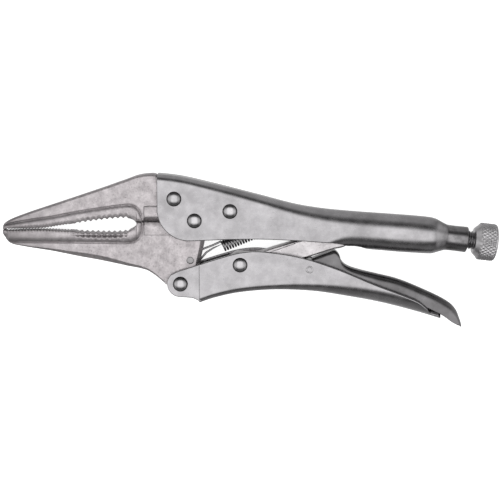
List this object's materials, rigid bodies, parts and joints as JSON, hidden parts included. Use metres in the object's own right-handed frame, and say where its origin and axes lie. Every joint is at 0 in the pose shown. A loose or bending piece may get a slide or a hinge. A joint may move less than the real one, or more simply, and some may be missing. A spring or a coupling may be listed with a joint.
{
  "type": "locking pliers",
  "caption": "Long-nose locking pliers with a toggle link, a release lever, a return spring and a screw that sets the jaw opening.",
  "frame": {"origin": "on the jaw pivot's axis, on the flat of the pivot rivet's lower head, which the tool rests on", "axes": "+X from the jaw pivot towards the adjusting knob, +Y towards the back of the upper handle, +Z through the thickness"},
  "size_m": [0.2275, 0.0715, 0.0172],
  "materials": {
    "plated_sheet": "bright nickel plate on pressed steel",
    "forged_steel": "satin, blasted and plated",
    "rivet_steel": "bright plate with a dark ring at the foot",
    "spring_steel": "drawn wire"
  },
  "bodies": {
    "handle": {"upper_handle": "plated_sheet", "fixed_jaw": "forged_steel", "jaw_rivet_front": "rivet_steel", "jaw_rivet_rear": "rivet_steel", "pivot_rivet": "rivet_steel", "return_spring": "spring_steel"},
    "jaw": {"moving_jaw": "forged_steel", "spring_pin": "forged_steel"},
    "lever": {"lower_lever": "plated_sheet", "lever_rivet": "rivet_steel", "link_rivet": "rivet_steel", "release_pin": "rivet_steel"},
    "link": {"toggle_link": "forged_steel"},
    "release": {"release_lever": "plated_sheet"},
    "spindle": {"adjusting_screw": "plated_sheet"},
    "knob": {"screw_knob": "plated_sheet"}
  },
  "joints": [
    {"name": "jaw_open", "type": "hinge", "parent": "handle", "child": "jaw", "pos_m": [0, 0, 0.0086], "axis": [0, 0, 1], "range_deg": [0, 20], "deforming": ["return_spring"]},
    {"name": "lever_swing", "type": "hinge", "parent": "jaw", "child": "lever", "pos_m": [-0.0066, -0.0293, 0.0086], "axis": [0, 0, 1], "range_deg": [-58, 0]},
    {"name": "link_swing", "type": "hinge", "parent": "lever", "child": "link", "pos_m": [0.0208, -0.0204, 0.0086], "axis": [0, 0, 1], "range_deg": [0, 60]},
    {"name": "release_turn", "type": "hinge", "parent": "lever", "child": "release", "pos_m": [0.0526, -0.0225, 0.0086], "axis": [0, 0, 1], "range_deg": [0, 10]},
    {"name": "screw_travel", "type": "slide", "parent": "handle", "child": "spindle", "axis": [0.9936, -0.1132, 0], "range_m": [0, 0.015]},
    {"name": "knob_turn", "type": "hinge", "parent": "spindle", "child": "knob", "pos_m": [0.13851, -0.01111, 0.0086], "axis": [0.9936, -0.1132, 0], "range_deg": [0, 4320]}
  ],
  "couplings": [
    {"joint": "lever_swing", "follows": "jaw_open", "ratio": -2.886},
    {"joint": "link_swing", "follows": "jaw_open", "ratio": 2.987},
    {"joint": "release_turn", "follows": "jaw_open", "ratio": 0.45},
    {"joint": "knob_turn", "follows": "screw_travel", "rad_per_m": 5026.5}
  ]
}
